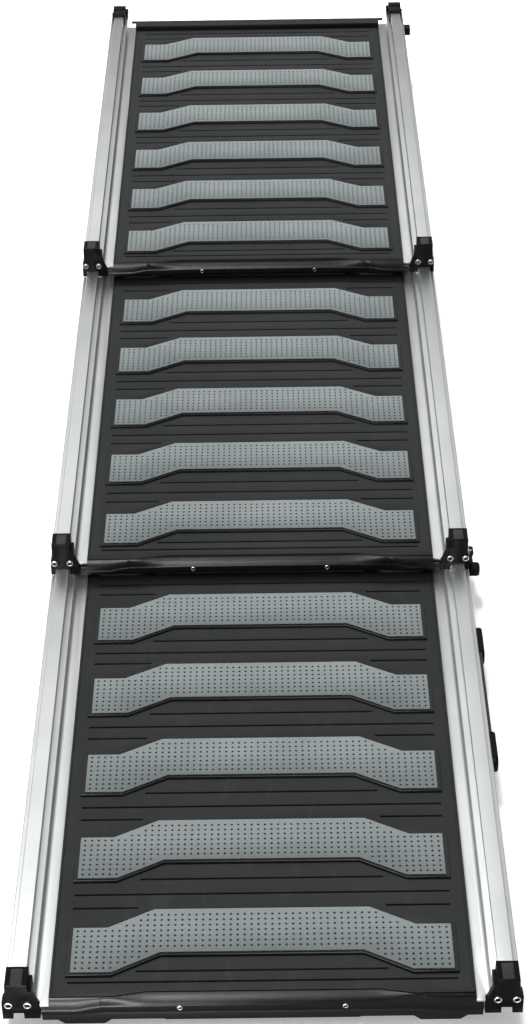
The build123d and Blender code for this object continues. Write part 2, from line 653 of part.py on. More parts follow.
def release_spring():
    """Torsion spring round the pin, between the lever and the mount's upper ear."""
    x, y = LEVER_PIVOT
    radius, wire, pitch, turns = 2.05, 0.25, 0.8, 3.5
    path = Pos(x, y, ARM_TOP + 0.4) * Helix(pitch=pitch, height=pitch * turns, radius=radius)
    section = Plane(origin=path @ 0, z_dir=path % 0) * Circle(wire)
    return sweep(section, path=path, is_frenet=True)


def release_stop():
    """Lug on the middle rail's outer wall that meets the lever's hook, in the middle frame."""
    rear = HOOK_FRONT - REACH - CATCH_GAP
    return box(RAIL_OUT, CATCH_OUT, rear - 9, rear, 3.0 - STEP, HOOK_TOP - STEP)


def tether_lug():
    """Small lug on the top rail's outer wall, near its rear end."""
    half_y, half_z = LUG_SIZE[0] / 2, LUG_SIZE[1] / 2
    lug = box(RAIL_OUT, LUG_OUT, LUG_Y - half_y, LUG_Y + half_y, LUG_Z - half_z, LUG_Z + half_z)
    lug = fillet(lug.edges().group_by(Axis.X)[-1], 1.5)
    lug -= rod_x(RAIL_OUT, LUG_OUT, LUG_Y, LUG_Z, 1.6)
    return lug - rod_x(LUG_OUT - 1.5, LUG_OUT, LUG_Y, LUG_Z, 3.0)


def tether_screw():
    """Screw of the tether lug."""
    face = LUG_OUT - 1.5
    return cross_head_x(face, LUG_Y, LUG_Z, 2.7, 1.0, face - RAIL_OUT + WALL_SHANK, 1.4)


def side_screw_holes(spots, z, radius):
    """Blind screw holes in a rail's outer wall."""
    return [rod_x(RAIL_OUT - WALL_HOLE, RAIL_OUT, y, z, radius) for y in spots]


# --- the assembly ---
def section_parts(name):
    """Every piece of one section, in the section frame."""
    low = name == "bottom"
    right_rail = rail(LOW_SCREW_Z if low else SCREW_Z)
    if low:
        tongue = box(TREAD_HALF + 0.1, TONGUE_OUT, TONGUE_FRONT, RAIL_FRONT, LEDGE - FLANGE_T, LEDGE)
        right_rail = joined([right_rail, tongue])
    parts = {"rail_left": left(right_rail)}
    if low:
        right_rail = right_rail - side_screw_holes(handle_screw_ys(), SIDE_Z, 1.5)
        right_rail = right_rail - side_screw_holes(MOUNT_SCREWS, SIDE_Z, 1.3)
        middle_x = (NOTCH_IN + NOTCH_OUT) / 2
        notch = (middle_x - LOW_NOTCH, middle_x + LOW_NOTCH, LOW_NOTCH_TOP)
    else:
        notch = (NOTCH_IN, NOTCH_OUT, BEAD_TOP - STEP + GAP)
        parts["stop_bar"] = stop_bar()
    if name == "top":
        right_rail = right_rail - side_screw_holes((LUG_Y,), LUG_Z, 1.5)
    right_bracket = bracket(low, notch)
    right_cap = top_rear_cap() if name == "top" else rear_plug(RAIL_REAR + 4)
    parts.update({
        "rail_right": right_rail, "tread_panel": tread_panel(), "tread_screws": tread_screws(),
        "grip_strips": grip_strips(), "nose": nose(), "nose_screws": nose_screws(),
        "rear_crossbar": rear_crossbar(), "bracket_left": left(right_bracket),
        "bracket_right": right_bracket, "bracket_screws": bracket_screws(low),
        "bumper_pads": bumper_pads(low), "rear_cap_left": left(right_cap), "rear_cap_right": right_cap,
    })
    return {f"{name}_{piece}": shape for piece, shape in parts.items()}


def extra_parts():
    """Pieces that only one section carries, by section."""
    first, second = handle_ends()
    return {
        "bottom": {"foot_bar": foot_bar(), "rear_feet": rear_feet(), "handle_strap": handle_strap(),
                   "handle_mount_front": handle_mount(first), "handle_mount_rear": handle_mount(second),
                   "handle_screws": handle_screws(), "release_mount": release_mount(),
                   "release_screws": release_screws(), "release_lever": release_lever(),
                   "release_pin": release_pin(), "release_spring": release_spring()},
        "middle": {"release_stop": release_stop()},
        "top": {"tether_lug": tether_lug(), "tether_screw": tether_screw()},
    }


def assembly():
    """All nodes in the row frame."""
    nodes = {}
    extras = extra_parts()
    for i, name in enumerate(SECTIONS):
        place = Location((-ORIGIN_X, i * REACH - ORIGIN_Y, i * STEP - FLOOR_Z))
        for node, shape in {**section_parts(name), **extras[name]}.items():
            nodes[node] = shape.moved(place)
    return nodes


os.makedirs("parts", exist_ok=True)
for node, shape in assembly().items():
    export_step(shape, f"parts/{node}.step")
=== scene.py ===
"""Telescoping dog ramp: finished surfaces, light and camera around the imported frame."""

import json
from math import cos, hypot, pi, radians, sin

import bmesh
import bpy
from mathutils import Matrix, Vector
from mathutils.geometry import delaunay_2d_cdt


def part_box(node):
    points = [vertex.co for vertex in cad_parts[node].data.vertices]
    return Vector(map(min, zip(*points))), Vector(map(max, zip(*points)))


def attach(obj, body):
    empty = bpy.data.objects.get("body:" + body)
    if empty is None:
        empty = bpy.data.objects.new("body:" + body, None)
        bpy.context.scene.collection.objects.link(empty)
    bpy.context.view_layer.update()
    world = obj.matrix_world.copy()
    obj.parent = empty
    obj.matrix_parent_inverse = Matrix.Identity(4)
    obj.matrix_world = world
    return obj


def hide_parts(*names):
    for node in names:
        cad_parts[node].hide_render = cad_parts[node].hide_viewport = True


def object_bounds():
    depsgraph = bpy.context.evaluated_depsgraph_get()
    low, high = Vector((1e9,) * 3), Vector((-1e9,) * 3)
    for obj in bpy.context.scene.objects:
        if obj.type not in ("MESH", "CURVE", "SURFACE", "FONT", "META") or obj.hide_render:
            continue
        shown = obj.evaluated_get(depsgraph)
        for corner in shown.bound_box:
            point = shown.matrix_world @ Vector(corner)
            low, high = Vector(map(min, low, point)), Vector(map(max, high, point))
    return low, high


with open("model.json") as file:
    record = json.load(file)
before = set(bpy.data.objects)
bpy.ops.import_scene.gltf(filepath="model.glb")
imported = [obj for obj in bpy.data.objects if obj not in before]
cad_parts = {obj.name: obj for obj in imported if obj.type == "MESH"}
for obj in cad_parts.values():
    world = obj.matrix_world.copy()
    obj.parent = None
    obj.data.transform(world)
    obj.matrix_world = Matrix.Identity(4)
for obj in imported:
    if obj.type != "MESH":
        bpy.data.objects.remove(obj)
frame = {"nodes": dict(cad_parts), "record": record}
cad_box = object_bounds()

MM = 0.001
SECTIONS = ("bottom", "middle", "top")

# Section frame, as in the CAD: x = 0 on the centre line, y = 0 at the front edge of the first
# grip strip, z = 0 on the tread.  Lengths below are millimetres unless a name says otherwise.
STRIPS = 6
STRIP_PITCH = 110.0
STRIP_HALF = 164.0
STRIP_DEPTH = 50.0
STRIP_SHIFT = 22.0       # how far the side tabs lie nearer than the middle
STRIP_FRONT_IN = 87.5    # the slopes of the chevron, between two distances from the centre
STRIP_FRONT_OUT = 129.0
STRIP_REAR_IN = 94.0
STRIP_REAR_OUT = 134.0
STRIP_TAB_EXTRA = 1.0    # the side tabs are this much deeper than the shift leaves them
STRIP_TOP = 3.0
STRIP_FOOT = -0.9
STRIP_ROUND = 0.5
ROUND_MIDDLE = 0.3       # where a quarter round stands at half its turn, as a share of its radius
PIT_PITCH = 6.03
PIT_ROW = 24.8
PIT_ROWS = range(-8, 5)
PIT_COLUMNS = range(-28, 28)
PIT_R = 1.12
PIT_TAPER = 0.72
PIT_DEPTH = 0.5
PIT_SIDES = 8
PIT_MARGIN = 3.6

TREAD_HALF = 180.5
SEAM_MID_Y = -41.0
SEAM_SIDE_Y = -46.0
SEAM_IN = 98.0
SEAM_OUT = 128.0
SEAM_W = 0.8
SEAM_DEPTH = 1.6
SEAM_EASE = (0.1, 0.55)  # (ahead of the seam, below the tread) of the lip's first two points
SEAM_CREST = (0.4, 0.25)
NOSE_HALF = 187.0
NOSE_BOTTOM = -16.5
NOSE_FRONT = -50.0
NOSE_BACK = -46.5
NOSE_INSIDE = -5.0
NOSE_EDGE = 0.6
NOSE_DROP = 8.5
NOSE_STEP = 0.4
NOSE_LOBE = 137.0
SAG_FROM = 60.0          # the lip's front edge sags a little on its way to the lobes
SAG = 0.8
LOBE_RISE = 23.0
LOBE_DROP = 12.0
LOBE_FORWARD = 1.6
LOBE_DEEPER = 1.5
LOBE_END_TOP = -8.0
LOBE_STATIONS = 9
LIP_EDGE = 0.45          # size of the small crisp edge between the lip's top and its front
LIP_STEPS = 10
LIP_PULL = (0.36, 0.2)   # shares of the lip's depth and drop that place its curve's pull point
END_EDGE = 0.4

SCREW_X = (-214.5, -198.4, 198.4, 214.5)
SCREW_R = 3.5
NOSE_SCREW_X = (-70.0, 70.0)
NOSE_SCREW_R = 2.4
SCREW_SIDES = 24

# Screw head, as shares of its radius.
CROSS_ARM = 0.46
CROSS_HALF = 0.11
CROSS_TAPER = 0.9
CROSS_DEPTH = 0.3
DISH_R = 0.68
DISH_LEVEL = 0.1
RIM_LEVEL = 0.345
HEAD_INSIDE = 0.02       # millimetres, how far a head stays behind its CAD box's front
RIM_STEPS = ((0.7, 0.24), (0.75, 0.33), (0.82, RIM_LEVEL), (0.91, 0.30), (0.98, 0.2), (1.0, 0.1),
             (1.0, -0.2))

# Rounding of the edges of the pieces that keep their CAD shape.
EDGE_ROUND = {"rail": 0.35, "tread_panel": 0.3, "bracket": 0.55, "rear_cap": 0.6, "rear_crossbar": 0.8,
              "bumper_pads": 0.3, "stop_bar": 0.6, "foot_bar": 0.8, "rear_feet": 1.0,
              "handle_mount": 0.5, "handle_strap": 0.5, "release_mount": 0.5, "release_lever": 0.7,
              "release_stop": 0.5, "tether_lug": 0.6}
ROUND_SEGMENTS = 2
ROUND_FROM = 34          # degrees between two faces
FLAT_WITHIN = 0.5

# Soft dome: its bright axis, and (closeness to that axis, level) steps.
SKY_AXIS = (-0.08, 0.62, 0.76)
SKY_STEPS = ((0.0, 0.015), (0.5, 0.05), (0.7, 0.14), (0.8, 0.3), (0.85, 0.54), (0.883, 0.53),
             (0.911, 0.38), (0.944, 0.54), (0.9665, 0.77), (0.98, 0.95), (1.0, 1.05))
SKY_STRENGTH = 1.6
FLOOR_HALF = 30.0        # metres
FLOOR_GLOW = 0.35

# Camera: place in metres, turns in degrees, lens in millimetres.
CAMERA_PLACE = (0.00895, -2.2153, 1.4833)
CAMERA_DOWN = 36.6623
CAMERA_PAN = 0.2937
CAMERA_ROLL = -0.9309
CAMERA_LENS = 78.748


# --- small mesh tools ---
def section_origin(name):
    """Where a section frame's origin is in the row frame, from the grip strips' box."""
    low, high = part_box(f"{name}_grip_strips")
    return Vector(((low.x + high.x) / 2, low.y + STRIP_SHIFT * MM, high.z - STRIP_TOP * MM))


def mesh_from(name, points, faces, origin):
    """A mesh from points in millimetres in the section frame that starts at the origin."""
    mesh = bpy.data.meshes.new(name)
    mesh.from_pydata([origin + Vector(p) * MM for p in points], [], faces)
    mesh.update()
    return mesh


def outward(mesh):
    """Turn every face of a closed mesh outward."""
    bm = bmesh.new()
    bm.from_mesh(mesh)
    bmesh.ops.recalc_face_normals(bm, faces=bm.faces)
    bm.to_mesh(mesh)
    bm.free()


def held(value):
    """The value, kept between 0 and 1."""
    return max(0.0, min(1.0, value))


def ring(x, y, radius, sides):
    """Points of a regular polygon, anticlockwise."""
    turns = [2 * pi * (k + 0.5) / sides for k in range(sides)]
    return [(x + radius * cos(turn), y + radius * sin(turn)) for turn in turns]


def pierced(flat, loops):
    """Triangles between loops of flat points: the new points, the faces and each point's number."""
    edges = [(a, b) for loop in loops for a, b in zip(loop, loop[1:] + loop[:1])]
    spread, _, faces, was, *_ = delaunay_2d_cdt([Vector(p) for p in flat], edges, loops, 3, 1e-6)
    number = {old: new for new, olds in enumerate(was) for old in olds}
    return spread, [tuple(f) for f in faces], number


def band(upper, lower):
    """Side faces between two loops of the same length."""
    around = range(len(lower))
    following = [(k + 1) % len(lower) for k in around]
    return [(upper[k], lower[k], lower[nxt], upper[nxt]) for k, nxt in zip(around, following)]


def gathered(parts):
    """Several (points, faces) pairs as one."""
    points, faces = [], []
    for part_points, part_faces in parts:
        start = len(points)
        points += part_points
        faces += [tuple(start + i for i in f) for f in part_faces]
    return points, faces


def piece(name, mesh, body, slot, nodes, crease=35):
    """A visible piece on a body, in a record slot's finish, in place of the named CAD nodes.

    It is shaded smooth, except where faces meet at more than the crease, in degrees."""
    mesh.polygons.foreach_set("use_smooth", [True] * len(mesh.polygons))
    mesh.set_sharp_from_angle(angle=radians(crease))
    thing = bpy.data.objects.new(name, mesh)
    bpy.context.scene.collection.objects.link(thing)
    thing.data.materials.clear()
    thing.data.materials.append(FINISHES[slot])
    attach(thing, body)
    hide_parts(*nodes)


def rounded(mesh, bevel_mm):
    """The mesh with its sharp edges rounded over."""
    scratch = bpy.data.objects.new("scratch", mesh)
    bpy.context.scene.collection.objects.link(scratch)
    rounding = scratch.modifiers.new("rounding", "BEVEL")
    rounding.width = bevel_mm * MM
    rounding.segments = ROUND_SEGMENTS
    rounding.limit_method = "ANGLE"
    rounding.angle_limit = radians(ROUND_FROM)
    rounding.use_clamp_overlap = True
    bpy.context.view_layer.update()
    graph = bpy.context.evaluated_depsgraph_get()
    done = bpy.data.meshes.new_from_object(scratch.evaluated_get(graph), depsgraph=graph)
    bpy.data.objects.remove(scratch)
    return done


def eased_copy(node, bevel_mm):
    """A CAD node rebuilt with its facets merged and its sharp edges rounded over."""
    bm = bmesh.new()
    bm.from_mesh(frame["nodes"][node].data)
    bmesh.ops.remove_doubles(bm, verts=bm.verts, dist=1e-6)
    bmesh.ops.dissolve_limit(bm, angle_limit=radians(FLAT_WITHIN), verts=bm.verts, edges=bm.edges)
    mesh = bpy.data.meshes.new(node + "_eased")
    bm.to_mesh(mesh)
    bm.free()
    return rounded(mesh, bevel_mm)


# --- materials ---
class Finish:
    """A node material with a principled shader, built up from a few kinds of pattern."""

    def __init__(self, name, metallic=0.0, specular=0.5):
        self.material = bpy.data.materials.new(name)
        self.material.use_nodes = True
        self.nodes = self.material.node_tree.nodes
        self.links = self.material.node_tree.links
        self.nodes.clear()
        out = self.nodes.new("ShaderNodeOutputMaterial")
        self.shader = self.nodes.new("ShaderNodeBsdfPrincipled")
        self.links.new(self.shader.outputs["BSDF"], out.inputs["Surface"])
        self.shader.inputs["Metallic"].default_value = metallic
        self.shader.inputs["Specular IOR Level"].default_value = specular
        self.place = self.nodes.new("ShaderNodeTexCoord").outputs["Object"]
        self.normal = None

    def stretched(self, x, y, z):
        """Object coordinates scaled along each axis."""
        node = self.nodes.new("ShaderNodeMapping")
        node.inputs["Scale"].default_value = (x, y, z)
        self.links.new(self.place, node.inputs["Vector"])
        return node.outputs["Vector"]

    def noise(self, per_metre, detail, rough=0.5, place=None):
        """Soft cloudy pattern."""
        node = self.nodes.new("ShaderNodeTexNoise")
        node.inputs["Scale"].default_value = per_metre
        node.inputs["Detail"].default_value = detail
        node.inputs["Roughness"].default_value = rough
        self.links.new(place or self.place, node.inputs["Vector"])
        return node.outputs["Fac"]

    def cells(self, per_metre):
        """Pebbled pattern of rounded cells."""
        node = self.nodes.new("ShaderNodeTexVoronoi")
        node.feature = "SMOOTH_F1"
        node.inputs["Scale"].default_value = per_metre
        self.links.new(self.place, node.inputs["Vector"])
        return node.outputs["Distance"]

    def ramp(self, value, low, high, first, last):
        """A ramp between two grey levels over part of a pattern's range."""
        node = self.nodes.new("ShaderNodeValToRGB")
        start, end = node.color_ramp.elements
        start.position, end.position = low, high
        start.color = (first, first, first, 1)
        end.color = (last, last, last, 1)
        self.links.new(value, node.inputs["Fac"])
        return node.outputs["Color"]

    def mix(self, kind, factor, one, two):
        """Two patterns, colours or levels mixed by a factor that may be a pattern too."""
        node = self.nodes.new("ShaderNodeMixRGB")
        node.blend_type = kind
        for socket, given in zip(node.inputs, (factor, one, two)):
            if isinstance(given, bpy.types.NodeSocket):
                self.links.new(given, socket)
            elif isinstance(given, tuple):
                socket.default_value = (*given, 1)
            else:
                socket.default_value = given if socket.type == "VALUE" else (given, given, given, 1)
        return node.outputs["Color"]

    def colour(self, source):
        """Base colour from a pattern."""
        self.links.new(source, self.shader.inputs["Base Color"])

    def roughness(self, source):
        """Roughness from a pattern."""
        self.links.new(source, self.shader.inputs["Roughness"])

    def bump(self, height, strength, depth_mm):
        """Relief from a pattern, on top of any relief given before."""
        node = self.nodes.new("ShaderNodeBump")
        node.inputs["Strength"].default_value = strength
        node.inputs["Distance"].default_value = depth_mm * MM
        self.links.new(height, node.inputs["Height"])
        if self.normal is not None:
            self.links.new(self.normal, node.inputs["Normal"])
        self.normal = node.outputs["Normal"]
        self.links.new(self.normal, self.shader.inputs["Normal"])


def rail_aluminium():
    """Satin anodised extrusion: die lines along the rail, faint clouding and fine scratches."""
    f = Finish("rail_aluminium", metallic=1.0)
    along = f.stretched(1.0, 0.012, 1.0)
    die_lines = f.noise(1400, detail=4, rough=0.6, place=along)
    clouding = f.noise(14, detail=2)
    fine = f.noise(4200, detail=2)
    scratches = f.noise(900, detail=1, place=f.stretched(0.25, 1.0, 0.25))
    cloudy = f.ramp(clouding, 0.35, 0.7, 0.0, 1.0)
    tone = f.mix("MIX", cloudy, (0.56, 0.575, 0.58), (0.615, 0.625, 0.63))
    tone = f.mix("MULTIPLY", 0.55, tone, f.ramp(die_lines, 0.25, 0.75, 0.9, 1.0))
    f.colour(f.mix("MULTIPLY", 0.4, tone, f.ramp(scratches, 0.66, 0.74, 1.0, 0.86)))
    f.roughness(f.mix("ADD", 0.12, f.ramp(die_lines, 0.2, 0.8, 0.30, 0.40), fine))
    f.bump(die_lines, 0.35, 0.03)
    f.bump(fine, 0.25, 0.01)
    return f.material


def tread_plastic():
    """Charcoal moulded plastic with a fine leather grain and light scuffs from paws."""
    f = Finish("tread_plastic", specular=0.12)
    grain = f.cells(1150)
    cloud = f.noise(9, detail=4, rough=0.6)
    speck = f.noise(2600, detail=2)
    scuff = f.noise(60, detail=5, rough=0.7, place=f.stretched(1.0, 0.35, 1.0))
    cloudy = f.ramp(cloud, 0.3, 0.7, 0.0, 1.0)
    base = f.mix("MIX", cloudy, (0.021, 0.0225, 0.0225), (0.027, 0.0285, 0.0285))
    base = f.mix("ADD", 0.014, base, f.ramp(scuff, 0.55, 0.8, 0.0, 1.0))
    f.colour(f.mix("MULTIPLY", 0.35, base, f.ramp(speck, 0.3, 0.7, 0.7, 1.0)))
    f.roughness(f.mix("MIX", f.ramp(scuff, 0.5, 0.75, 0.0, 1.0), 0.5, 0.62))
    f.bump(grain, 0.35, 0.08)
    f.bump(speck, 0.3, 0.02)
    return f.material


def grip_rubber():
    """Soft grey grip compound: slightly mottled, with a dry open surface."""
    f = Finish("grip_rubber", specular=0.06)
    mottle = f.noise(420, detail=5, rough=0.65)
    cloud = f.noise(11, detail=3)
    pores = f.cells(2100)
    cloudy = f.ramp(cloud, 0.3, 0.7, 0.0, 1.0)
    base = f.mix("MIX", cloudy, (0.2, 0.226, 0.228), (0.24, 0.265, 0.268))
    f.colour(f.mix("MULTIPLY", 0.45, base, f.ramp(mottle, 0.3, 0.72, 0.72, 1.12)))
    f.roughness(f.ramp(mottle, 0.3, 0.7, 0.62, 0.78))
    f.bump(mottle, 0.3, 0.06)
    f.bump(pores, 0.25, 0.03)
    return f.material


def nose_plastic():
    """Polished black lip with faint moulding flow and fine rub marks."""
    f = Finish("nose_plastic", specular=0.14)
    flow = f.noise(22, detail=3, place=f.stretched(0.3, 1.0, 1.0))
    rub = f.noise(700, detail=4, rough=0.7, place=f.stretched(0.1, 1.0, 1.0))
    fine = f.noise(2400, detail=2)
    streaks = f.ramp(flow, 0.35, 0.7, 0.0, 1.0)
    f.colour(f.mix("MIX", streaks, (0.0032, 0.0032, 0.003), (0.005, 0.005, 0.0048)))
    f.roughness(f.mix("ADD", 0.06, f.ramp(rub, 0.45, 0.75, 0.27, 0.4), fine))
    f.bump(flow, 0.15, 0.25)
    f.bump(fine, 0.12, 0.012)
    return f.material


def black_plastic(name, tone, rough, grain_mm, specular):
    """Black moulding with a spark-eroded grain, a little paler where it is handled."""
    f = Finish(name, specular=specular)
    grain = f.cells(1 / (grain_mm * MM))
    fine = f.noise(3000, detail=3)
    cloud = f.noise(35, detail=4, rough=0.65)
    dark, light = tuple(0.8 * c for c in tone), tuple(1.45 * c for c in tone)
    f.colour(f.mix("MIX", f.ramp(cloud, 0.35, 0.75, 0.0, 1.0), dark, light))
    f.roughness(f.mix("ADD", 0.08, f.ramp(cloud, 0.3, 0.7, rough, rough + 0.08), fine))
    f.bump(grain, 0.3, 0.05)
    f.bump(fine, 0.2, 0.015)
    return f.material


def bright_steel(name, tone, rough):
    """Zinc-plated steel with turning marks and slightly cloudy plating."""
    f = Finish(name, metallic=1.0)
    cloud = f.noise(700, detail=3)
    marks = f.noise(5200, detail=2)
    f.colour(f.mix("MIX", f.ramp(cloud, 0.35, 0.7, 0.0, 1.0), tuple(0.78 * c for c in tone), tone))
    f.roughness(f.mix("ADD", 0.1, f.ramp(cloud, 0.3, 0.7, rough, rough + 0.12), marks))
    f.bump(marks, 0.25, 0.01)
    return f.material


FINISHES = {
    "rail_aluminium": rail_aluminium(),
    "tread_plastic": tread_plastic(),
    "grip_rubber": grip_rubber(),
    "nose_plastic": nose_plastic(),
    "bracket_plastic": black_plastic("bracket_plastic", (0.0036, 0.0036, 0.0033), 0.3, 0.6, 0.06),
    "bumper_rubber": black_plastic("bumper_rubber", (0.026, 0.027, 0.027), 0.26, 0.9, 0.2),
    "foot_rubber": black_plastic("foot_rubber", (0.012, 0.012, 0.012), 0.6, 0.8, 0.15),
    "strap_rubber": black_plastic("strap_rubber", (0.018, 0.018, 0.019), 0.5, 0.7, 0.4),
    "screw_steel": bright_steel("screw_steel", (0.56, 0.555, 0.53), 0.28),
    "spring_steel": bright_steel("spring_steel", (0.5, 0.5, 0.5), 0.3),
}


# --- grip strips ---
def strip_outline(inset=0.0):
    """The chevron outline of a strip, anticlockwise, shrunk by an inset."""
    x = STRIP_HALF - inset
    tab_front = -STRIP_SHIFT + inset
    tab_rear = STRIP_DEPTH - STRIP_SHIFT + STRIP_TAB_EXTRA - inset
    half = [(STRIP_FRONT_IN, inset), (STRIP_FRONT_OUT, tab_front), (x, tab_front),
            (x, tab_rear), (STRIP_REAR_OUT, tab_rear), (STRIP_REAR_IN, STRIP_DEPTH - inset)]
    return half + [(-x, y) for x, y in reversed(half)]


def edge_distance(x, y, outline):
    """Signed distance to the nearest side of an anticlockwise outline, positive inside."""
    inside, nearest = False, 1e9
    for (x0, y0), (x1, y1) in zip(outline, outline[1:] + outline[:1]):
        dx, dy = x1 - x0, y1 - y0
        along = held(((x - x0) * dx + (y - y0) * dy) / (dx * dx + dy * dy))
        nearest = min(nearest, hypot(x - x0 - along * dx, y - y0 - along * dy))
        if (y0 > y) != (y1 > y) and x < x0 + (y - y0) * dx / dy:
            inside = not inside
    return nearest if inside else -nearest


def pit_centres():
    """The square grid of dimples that fits inside the outline with a margin."""
    outline = strip_outline()
    spots = []
    for row in PIT_ROWS:
        y = PIT_ROW + row * PIT_PITCH
        for column in PIT_COLUMNS:
            x = (column + 0.5) * PIT_PITCH
            if edge_distance(x, y, outline) > PIT_MARGIN:
                spots.append((x, y))
    return spots


def one_strip():
    """Points and faces of one strip: pierced top, dimples, rounded rim and side walls."""
    rim = strip_outline(STRIP_ROUND)
    flat = list(rim)
    loops = [list(range(len(rim)))]
    for x, y in pit_centres():
        start = len(flat)
        flat += ring(x, y, PIT_R, PIT_SIDES)
        loops.append(list(range(start, start + PIT_SIDES)))
    spread, faces, number = pierced(flat, loops)
    points = [(p.x, p.y, STRIP_TOP) for p in spread]
    for loop in loops[1:]:
        top = [number[k] for k in loop]
        middle = [sum(points[k][axis] for k in top) / PIT_SIDES for axis in (0, 1)]
        start = len(points)
        bottom = ring(*middle, PIT_R * PIT_TAPER, PIT_SIDES)
        points += [(x, y, STRIP_TOP - PIT_DEPTH) for x, y in bottom]
        low = list(range(start, start + PIT_SIDES))
        for k in range(PIT_SIDES):
            nxt = (k + 1) % PIT_SIDES
            faces.append((top[k], top[nxt], low[nxt], low[k]))
        faces.append(tuple(low))
    previous = [number[k] for k in loops[0]]
    middle = STRIP_ROUND * ROUND_MIDDLE
    for inset, z in ((middle, STRIP_TOP - middle), (0.0, STRIP_TOP - STRIP_ROUND), (0.0, STRIP_FOOT)):
        start = len(points)
        points += [(x, y, z) for x, y in strip_outline(inset)]
        lower = list(range(start, start + len(previous)))
        faces += band(previous, lower)
        previous = lower
    faces.append(tuple(reversed(previous)))
    return points, faces


def grip_strips():
    """The six dimpled strips of each section as one piece."""
    points, faces = one_strip()
    for name in SECTIONS:
        rows = [([(x, y + k * STRIP_PITCH, z) for x, y, z in points], faces) for k in range(STRIPS)]
        mesh = mesh_from(f"{name}_grips", *gathered(rows), section_origin(name))
        outward(mesh)
        piece(f"{name}_grips", mesh, name, "grip_rubber", [f"{name}_grip_strips"], crease=30)


# --- nose ---
def eased(value):
    """Smooth step from 0 to 1."""
    value = held(value)
    return value * value * (3 - 2 * value)


def lip_curve(start, end):
    """Rounded top of the lip in (y, z), from beside the seam to its crisp front edge."""
    drop = start[1] - end[1]
    pull = (end[0] + LIP_PULL[0] * (start[0] - end[0]), start[1] - LIP_PULL[1] * drop)
    points = []
    for k in range(LIP_STEPS + 1):
        t = k / LIP_STEPS
        weighted = list(zip(((1 - t) ** 2, 2 * t * (1 - t), t ** 2), (start, pull, end)))
        points.append(tuple(sum(weight * p[axis] for weight, p in weighted) for axis in (0, 1)))
    return points


def nose_profile(x, ceiling):
    """Closed outline of the nose at a place across the ramp, as (y, z) points below a ceiling."""
    across = abs(x)
    seam_slope = held((across - SEAM_IN) / (SEAM_OUT - SEAM_IN))
    seam = SEAM_MID_Y + (SEAM_SIDE_Y - SEAM_MID_Y) * seam_slope
    lip = seam - SEAM_W
    lobe = eased((across - NOSE_LOBE) / LOBE_RISE)
    front = NOSE_FRONT - (NOSE_STEP if across > NOSE_LOBE else 0.0) - LOBE_FORWARD * lobe
    sag = SAG * eased((across - SAG_FROM) / (NOSE_LOBE - SAG_FROM))
    drop = NOSE_DROP + (LOBE_DROP - NOSE_DROP) * lobe + sag * (1 - lobe)
    back = NOSE_BACK - LOBE_DEEPER * lobe
    crest = (lip - SEAM_CREST[0], -SEAM_CREST[1])
    outline = [(seam, -SEAM_DEPTH), (lip, -SEAM_DEPTH), (lip - SEAM_EASE[0], -SEAM_EASE[1])]
    outline += lip_curve(crest, (front + LIP_EDGE, -drop + LIP_EDGE * 1.6))
    outline += [(front + LIP_EDGE * 0.3, -drop + LIP_EDGE * 0.5), (front, -drop - LIP_EDGE * 0.4),
                (front, NOSE_BOTTOM + NOSE_EDGE), (front + NOSE_EDGE, NOSE_BOTTOM),
                (back, NOSE_BOTTOM), (back, NOSE_INSIDE), (seam, NOSE_INSIDE)]
    return [(y, min(z, ceiling)) for y, z in outline]


def loft(stations, ceiling=0.0):
    """Points and faces of the nose between stations across the ramp."""
    profiles = [[(x, y, z) for y, z in nose_profile(x, ceiling)] for x in stations]
    points = [point for profile in profiles for point in profile]
    count = len(profiles[0])
    last = len(points) - count
    faces = []
    for a in range(0, last, count):
        for k in range(count):
            nxt = (k + 1) % count
            faces.append((a + k, a + nxt, a + count + nxt, a + count + k))
    faces.append(tuple(range(count)))
    faces.append(tuple(reversed(range(last, len(points)))))
    return points, faces


def nose(name):
    """The polished lip, lofted from lobe to lobe, with its lower ends beside the rails' ledges.

    Stations lie closest together where the seam, the sag or the lobes change the profile."""
    seam = [SEAM_IN + (SEAM_OUT - SEAM_IN) * k / 5 for k in range(6)]
    lobe = [NOSE_LOBE + LOBE_RISE * k / LOBE_STATIONS for k in range(1, LOBE_STATIONS + 1)]
    half = [0, 30, SAG_FROM, 80, *seam, 132, NOSE_LOBE - 0.2, NOSE_LOBE + 0.2, *lobe, 168]
    half += [TREAD_HALF - 0.5, TREAD_HALF - 0.1]
    left_end = (-NOSE_HALF, END_EDGE - NOSE_HALF, -TREAD_HALF)
    right_end = (TREAD_HALF, NOSE_HALF - END_EDGE, NOSE_HALF)
    parts = [loft(sorted({side * x for side in (-1, 1) for x in half}), 0.0)]
    parts += [loft(end, LOBE_END_TOP) for end in (right_end, left_end)]
    mesh = mesh_from(f"{name}_lip", *gathered(parts), section_origin(name))
    bm = bmesh.new()
    bm.from_mesh(mesh)
    bmesh.ops.dissolve_degenerate(bm, dist=1e-7, edges=bm.edges)
    bmesh.ops.recalc_face_normals(bm, faces=bm.faces)
    bm.to_mesh(mesh)
    bm.free()
    piece(f"{name}_lip", mesh, name, "nose_plastic", [f"{name}_nose"], crease=30)


